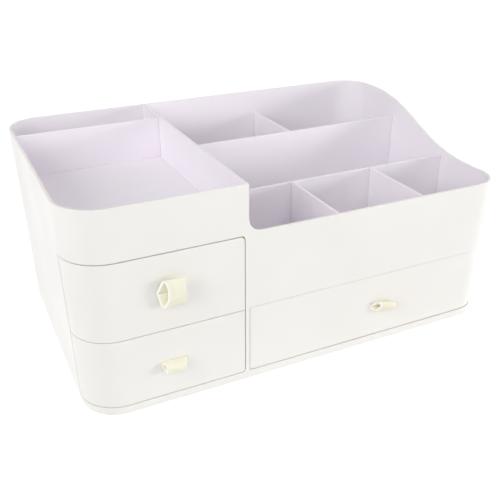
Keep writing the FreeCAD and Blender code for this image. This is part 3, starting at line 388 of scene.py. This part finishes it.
from_corner = add_node(fold_tree, "ShaderNodeVectorMath",
                       {0: add_node(fold_tree, "GeometryNodeInputPosition").outputs[0], 1: fold_in["Slot Corner"]},
                       operation="SUBTRACT")
local = add_node(fold_tree, "ShaderNodeSeparateXYZ", {"Vector": from_corner.outputs[0]})
half = add_node(fold_tree, "ShaderNodeMath", {0: fold_in["Strap Width"], 1: 0.5}, operation="MULTIPLY")
off_centre = add_node(fold_tree, "ShaderNodeMath", {0: local.outputs["X"], 1: half.outputs[0]}, operation="SUBTRACT")
off_centre = add_node(fold_tree, "ShaderNodeMath", {0: off_centre.outputs[0]}, operation="ABSOLUTE")
limit = add_node(fold_tree, "ShaderNodeMath", {0: half.outputs[0], 1: fold_in["Edge Rounding"]}, operation="SUBTRACT")
is_cut = add_node(fold_tree, "FunctionNodeCompare", {"A": off_centre.outputs[0], "B": limit.outputs[0]},
                  data_type="FLOAT", operation="GREATER_THAN")
strap = add_node(fold_tree, "GeometryNodeSetMaterial",
                 {"Geometry": strap.outputs[0], "Selection": is_cut.outputs[0], "Material": fold_in["Edge Material"]})

across = add_node(fold_tree, "ShaderNodeMath", {0: local.outputs["X"], 1: fold_in["Strap Width"]}, operation="DIVIDE")
out = add_node(fold_tree, "ShaderNodeMath", {0: local.outputs["Y"], 1: -1.0}, operation="MULTIPLY")
out = add_node(fold_tree, "ShaderNodeMath", {0: out.outputs[0], 1: 0.0}, operation="MAXIMUM")
slant = add_node(fold_tree, "ShaderNodeMapRange",
                 {"Value": across.outputs[0], "To Min": fold_in["Left Slant"]})
opposite = add_node(fold_tree, "ShaderNodeMath", {0: fold_in["Right Slant"], 1: -1.0}, operation="MULTIPLY")
fold_tree.links.new(opposite.outputs[0], slant.inputs["To Max"])
sideways = add_node(fold_tree, "ShaderNodeMath", {0: out.outputs[0], 1: slant.outputs["Result"]}, operation="MULTIPLY")
leaving = add_node(fold_tree, "ShaderNodeMapRange", {"Value": out.outputs[0], "From Max": 0.004, "To Max": -1.0},
                   interpolation_type="SMOOTHSTEP")
leaving = add_node(fold_tree, "ShaderNodeMath", {0: across.outputs[0], 1: leaving.outputs["Result"]},
                   operation="MULTIPLY")
forward = add_node(fold_tree, "ShaderNodeMath", {0: leaving.outputs[0], 1: fold_in["Right Depth"]},
                   operation="MULTIPLY")
above = add_node(fold_tree, "ShaderNodeMath", {0: local.outputs["Z"], 1: fold_in["Taper Height"]},
                 operation="SUBTRACT")
drop = add_node(fold_tree, "ShaderNodeMath",
                {0: above.outputs[0], 1: fold_in["Right Taper"], 2: fold_in["Right Drop"]}, operation="MULTIPLY_ADD")
down = add_node(fold_tree, "ShaderNodeMath", {0: leaving.outputs[0], 1: drop.outputs[0]}, operation="MULTIPLY")
shift = add_node(fold_tree, "ShaderNodeCombineXYZ",
                 {"X": sideways.outputs[0], "Y": forward.outputs[0], "Z": down.outputs[0]})
strap = add_node(fold_tree, "GeometryNodeSetPosition", {"Geometry": strap.outputs[0], "Offset": shift.outputs[0]})
strap = add_node(fold_tree, "GeometryNodeRealizeInstances", {"Geometry": strap.outputs[0]})
fold_tree.links.new(strap.outputs[0], fold_out.inputs["Strap"])
print("folded_strap:", len(fold_tree.nodes), "nodes")

# %% The three pull tabs
STRAP_WIDTH, STRAP_THICKNESS = 18 * MM, 1.2 * MM
TAIL = -6.45
# Each fold is a list of (out from the front's face, up from the slot's middle, radius of the bend), in mm
FOLDS = {
    "upper": [(TAIL, 5.5, 0), (TAIL, 0.62, 0.8), (0.7, 0.62, 0.8), (4.6, 11.4, 1.0), (6.7, 4.0, 6.0), (6.5, -3.0, 6.0),
              (3.0, -11.4, 1.0), (0.7, -0.62, 0.8), (TAIL, -0.62, 0.8), (TAIL, -5.5, 0)],
    "lower": [(TAIL, 5.5, 0), (TAIL, 0.62, 0.8), (0.7, 0.62, 0.8), (3.4, 0.6, 1.6), (4.8, -1.6, 1.6), (4.6, -5.0, 0.75),
              (3.3, -5.0, 0.75), (3.15, -2.2, 0.8), (1.2, -2.6, 0.8), (0.75, -0.62, 0.5), (TAIL, -0.62, 0.8),
              (TAIL, -5.5, 0)],
    "wide": [(TAIL, 5.5, 0), (TAIL, 0.62, 0.8), (0.7, 0.62, 0.8), (3.5, 5.6, 1.0), (5.2, 1.6, 2.5), (2.4, -3.6, 1.0),
             (0.7, -0.62, 0.6), (TAIL, -0.62, 0.8), (TAIL, -5.5, 0)],
}
# Middle of the slot on the front's face, left slant, right slant, then how far the right end comes out, drops,
# narrows, and the height that it narrows to
SLOTS = {
    "upper": ((-100.2, -98.05, 84.5), 0.9, 0.3, 2.4, -1.8, 0.08, 0.0),
    "lower": ((-100.2, -97.19, 32.0), 0.5, 0.7, 1.6, 0.3, 0.45, -1.7),
    "wide": ((58.4, -96.68, 31.7), 1.4, 0.05, 3.2, 1.1, 0.28, -0.6),
}


def folded_strap(drawer):
    (x, y, z), left_slant, right_slant, right_depth, right_drop, right_taper, taper_height = SLOTS[drawer]
    shape = bpy.data.meshes.new(drawer + "_fold")
    points = FOLDS[drawer]
    shape.from_pydata([(x * MM, (y - out) * MM, (z + up) * MM) for out, up, bend in points],
                      [(k, k + 1) for k in range(len(points) - 1)], [])
    bends = shape.attributes.new("fold_radius", "FLOAT", "POINT")
    bends.data.foreach_set("value", [bend * MM for out, up, bend in points])
    holder = bpy.data.objects.new(drawer + "_fold", shape)
    bpy.context.scene.collection.objects.link(holder)
    modifier = holder.modifiers.new("Folded strap", "NODES")
    modifier.node_group = fold_tree
    settings = {"Slot Corner": (x * MM - STRAP_WIDTH / 2, y * MM, z * MM), "Strap Width": STRAP_WIDTH,
                "Strap Thickness": STRAP_THICKNESS, "Left Slant": left_slant, "Right Slant": right_slant,
                "Right Depth": right_depth * MM, "Right Drop": right_drop * MM,
                "Right Taper": right_taper, "Taper Height": taper_height * MM,
                "Face Material": strap_leather, "Edge Material": strap_cut_edge}
    for item in fold_tree.interface.items_tree:
        if item.in_out == "INPUT" and item.name in settings:
            modifier[item.identifier] = settings[item.name]
    piece = plain_mesh(holder, drawer + "_strap")
    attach(piece, drawer + "_drawer")
    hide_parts(drawer + "_pull_tab")
    return piece


for drawer in FOLDS:
    piece = folded_strap(drawer)
    print(piece.name, len(piece.data.polygons), "faces", [m.name for m in piece.data.materials],
          [[round(c / MM, 1) for c in corner] for corner in (
              [min(v.co[i] for v in piece.data.vertices) for i in range(3)],
              [max(v.co[i] for v in piece.data.vertices) for i in range(3)])])

# %% [markdown]
# The box stands on four rubber feet: low turned pads with a soft lower edge and a shallow hollow underneath, which
# makes them grip like a cup. One profile is turned once, and Geometry Nodes set a copy on each place, read from the
# CAD feet. Copies that share one shape can't drift apart when the profile changes.

# %% Rubber feet
FOOT_NODES = ("foot_front_left", "foot_front_right", "foot_rear_left", "foot_rear_right")
# Radius and height of the profile's points, from the middle of the top to the middle of the hollow, in mm
FOOT_PROFILE = [(0.0, 2.1), (6.0, 2.1), (6.0, 1.0), (5.92, 0.5), (5.68, 0.16), (5.3, 0.0), (4.5, 0.0), (4.15, 0.08),
                (3.9, 0.3), (3.6, 0.42), (0.0, 0.5)]

turned = bmesh.new()
rail = [turned.verts.new((radius * MM, 0.0, height * MM)) for radius, height in FOOT_PROFILE]
sides = [turned.edges.new(pair) for pair in zip(rail, rail[1:])]
bmesh.ops.spin(turned, geom=rail + sides, axis=(0, 0, 1), cent=(0, 0, 0), angle=2 * math.pi, steps=48)
bmesh.ops.remove_doubles(turned, verts=turned.verts, dist=1e-6)
bmesh.ops.recalc_face_normals(turned, faces=turned.faces)
foot_shape = bpy.data.meshes.new("turned_foot")
turned.to_mesh(foot_shape)
turned.free()
foot_object = bpy.data.objects.new("turned_foot", foot_shape)
bpy.context.scene.collection.objects.link(foot_object)

feet_tree, feet_in, feet_out = new_group(
    "copy_on_each_point", "GeometryNodeTree",
    [("Points", "NodeSocketGeometry", None), ("Shape", "NodeSocketObject", None), ("Smooth Angle", "NodeSocketFloat", 0.6),
     ("Material", "NodeSocketMaterial", None)],
    [("Copies", "NodeSocketGeometry")])
shape_info = add_node(feet_tree, "GeometryNodeObjectInfo", {"Object": feet_in["Shape"]})
copies = add_node(feet_tree, "GeometryNodeInstanceOnPoints",
                  {"Points": feet_in["Points"], "Instance": shape_info.outputs["Geometry"]})
copies = add_node(feet_tree, "GeometryNodeRealizeInstances", {"Geometry": copies.outputs[0]})
bend = add_node(feet_tree, "GeometryNodeInputMeshEdgeAngle").outputs["Unsigned Angle"]
is_soft = add_node(feet_tree, "FunctionNodeCompare", {"A": bend, "B": feet_in["Smooth Angle"]},
                   data_type="FLOAT", operation="LESS_THAN")
copies = add_node(feet_tree, "GeometryNodeSetShadeSmooth", {"Geometry": copies.outputs[0]})
copies = add_node(feet_tree, "GeometryNodeSetShadeSmooth",
                  {"Geometry": copies.outputs[0], "Shade Smooth": is_soft.outputs[0]}, domain="EDGE")
copies = add_node(feet_tree, "GeometryNodeSetMaterial",
                  {"Geometry": copies.outputs[0], "Material": feet_in["Material"]})
feet_tree.links.new(copies.outputs[0], feet_out.inputs["Copies"])


def copies_on_points(name, points, shape_object, material):
    """One mesh of copies of a shape, set on points. The shape's own object is removed."""
    places = bpy.data.meshes.new(name + "_places")
    places.from_pydata(points, [], [])
    holder = bpy.data.objects.new(name + "_places", places)
    bpy.context.scene.collection.objects.link(holder)
    modifier = holder.modifiers.new("Copies", "NODES")
    modifier.node_group = feet_tree
    for item in feet_tree.interface.items_tree:
        if item.in_out == "INPUT" and item.name in ("Shape", "Material"):
            modifier[item.identifier] = {"Shape": shape_object, "Material": material}[item.name]
    piece = plain_mesh(holder, name)
    bpy.data.objects.remove(shape_object)
    return piece


foot_middles = [[(low + high) / 2 for low, high in zip(*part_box(node))] for node in FOOT_NODES]
feet = copies_on_points("rubber_feet", [(x, y, 0.0) for x, y, z in foot_middles], foot_object, foot_rubber)
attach(feet, "case")
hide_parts(*FOOT_NODES)
print("rubber_feet:", len(feet.data.polygons), "faces at", [[round(c / MM, 1) for c in place] for place in foot_middles])

# %% Finishes of the pieces that keep their CAD shape
FINISHES = {
    plastic_with_painted_shade: ["tray_deck", "compartment_deck"],
    case_plastic: ["base_plate", "drawer_shelf"],
}
for material, nodes in FINISHES.items():
    for node in nodes:
        shape = frame["nodes"][node].data
        shape.materials.clear()
        shape.materials.append(material)

# %% [markdown]
# The box stands in a plain white studio. The floor has to look white and still keep the box's soft shadow.
# More light would burn out the pale plastic, so the floor itself answers the camera: for camera and mirror rays
# it adds a glow to its own shaded colour, and for the light that it bounces it is an ordinary pale floor.

# %% Floor and backdrop
def seen_directly(tree):
    """1 for rays from the camera, or mirrored or bent by a clear or glossy surface, and 0 for the light's own."""
    rays = add_node(tree, "ShaderNodeLightPath").outputs
    seen = add_node(tree, "ShaderNodeMath", {0: rays["Is Camera Ray"], 1: rays["Is Glossy Ray"]}, operation="MAXIMUM")
    seen = add_node(tree, "ShaderNodeMath", {0: seen.outputs[0], 1: rays["Is Transmission Ray"]}, operation="MAXIMUM")
    return seen.outputs[0]


def white_ground(name, color, glow):
    material = bpy.data.materials.new(name)
    material.use_nodes = True
    tree = material.node_tree
    shader = tree.nodes["Principled BSDF"]
    shader.inputs["Base Color"].default_value = (*color, 1.0)
    shader.inputs["Roughness"].default_value = 0.9
    shader.inputs["Specular IOR Level"].default_value = 0.0
    strength = add_node(tree, "ShaderNodeMath", {0: seen_directly(tree), 1: glow}, operation="MULTIPLY")
    shader.inputs["Emission Color"].default_value = (1.0, 1.0, 1.0, 1.0)
    tree.links.new(strength.outputs[0], shader.inputs["Emission Strength"])
    return material


floor_shape = bpy.data.meshes.new("floor")
floor_shell = bmesh.new()
FLOOR_HALF, WALL_AT, WALL_HEIGHT, SWEEP = 4.0, 2.2, 4.0, 0.8
section = [(-FLOOR_HALF, 0.0), (WALL_AT - SWEEP, 0.0)]
section += [(WALL_AT - SWEEP + SWEEP * math.sin(a), SWEEP - SWEEP * math.cos(a))
            for a in [math.radians(7.5 * k) for k in range(1, 13)]]
section += [(WALL_AT, WALL_HEIGHT)]
rows = [[floor_shell.verts.new((x, y, z)) for y, z in section] for x in (-FLOOR_HALF, FLOOR_HALF)]
for k in range(len(section) - 1):
    floor_shell.faces.new((rows[0][k], rows[1][k], rows[1][k + 1], rows[0][k + 1])).smooth = True
floor_shell.to_mesh(floor_shape)
floor_shell.free()
floor_shape.materials.append(white_ground("white_ground", (0.80, 0.80, 0.81), 0.66))
floor = bpy.data.objects.new("floor", floor_shape)
bpy.context.scene.collection.objects.link(floor)

# %% [markdown]
# Lamps. The tabs throw soft shadows to their left, so the main softbox stands to the right of the fronts.
# The left wall is the brightest face, so a second large softbox stands on the left, and a wide one hangs above.
# The world fills the compartments with a slightly violet light, as the photograph shows them.

# %% Lamps and world
def softbox(name, place, aim, size, power, color):
    lamp = bpy.data.lights.new(name, "AREA")
    lamp.shape = "RECTANGLE"
    lamp.size, lamp.size_y = size
    lamp.energy = power
    lamp.color = color
    holder = bpy.data.objects.new(name, lamp)
    bpy.context.scene.collection.objects.link(holder)
    holder.location = place
    holder.rotation_mode = "QUATERNION"
    holder.rotation_quaternion = (Vector(aim) - Vector(place)).to_track_quat("-Z", "Y")
    return holder


AIM = (0.0, 0.0, 0.08)
softbox("right_softbox", (1.5, -0.95, 0.24), AIM, (0.5, 0.5), 12.0, (1.0, 0.995, 0.985))
softbox("left_softbox", (-1.6, -0.75, 1.0), AIM, (1.2, 1.2), 15.5, (1.0, 0.995, 0.99))
softbox("front_softbox", (0.2, -1.4, 1.5), AIM, (1.0, 1.0), 4.4, (1.0, 0.995, 0.99))

WALL_LIGHT, CEILING_LIGHT, WHITE_SKY = 0.54, 0.48, 1.02
world = bpy.data.worlds.new("studio")
bpy.context.scene.world = world
world.use_nodes = True
sky = world.node_tree.nodes["Background"]
sky.inputs["Color"].default_value = (0.99, 0.98, 1.0, 1.0)
direction = add_node(world.node_tree, "ShaderNodeTexCoord").outputs["Generated"]
height = add_node(world.node_tree, "ShaderNodeSeparateXYZ", {"Vector": direction}).outputs["Z"]
dimming = add_node(world.node_tree, "ShaderNodeMapRange",
                   {"Value": height, "From Min": 0.25, "From Max": 0.75, "To Min": WALL_LIGHT, "To Max": CEILING_LIGHT})
sky_strength = add_node(world.node_tree, "ShaderNodeMix",
                        {"Factor": seen_directly(world.node_tree), "A": dimming.outputs["Result"], "B": WHITE_SKY},
                        data_type="FLOAT")
world.node_tree.links.new(sky_strength.outputs["Result"], sky.inputs["Strength"])
scene = bpy.context.scene
scene.view_settings.view_transform = "Standard"

# %% [markdown]
# The camera was found by fitting the box's outline to the photograph: it stands to the left of the box, a good
# half metre away and looking down by 27 degrees, with a normal lens.

# %% Camera
camera = bpy.data.cameras.new("camera")
camera_object = bpy.data.objects.new("camera", camera)
scene.collection.objects.link(camera_object)
scene.camera = camera_object
CAMERA_PLACE = Vector((-210.16, -445.825, 293.80)) * MM
CAMERA_AIM = Vector((0.66, 2.365, 43.94)) * MM
CAMERA_ROLL = math.radians(-0.41)
camera.sensor_width = 36.0
camera.lens = 687.58 / 500 * camera.sensor_width
camera_object.location = CAMERA_PLACE
camera_object.rotation_mode = "QUATERNION"
look = (CAMERA_AIM - CAMERA_PLACE).to_track_quat("-Z", "Y")
camera_object.rotation_quaternion = look @ Quaternion((0, 0, 1), CAMERA_ROLL)
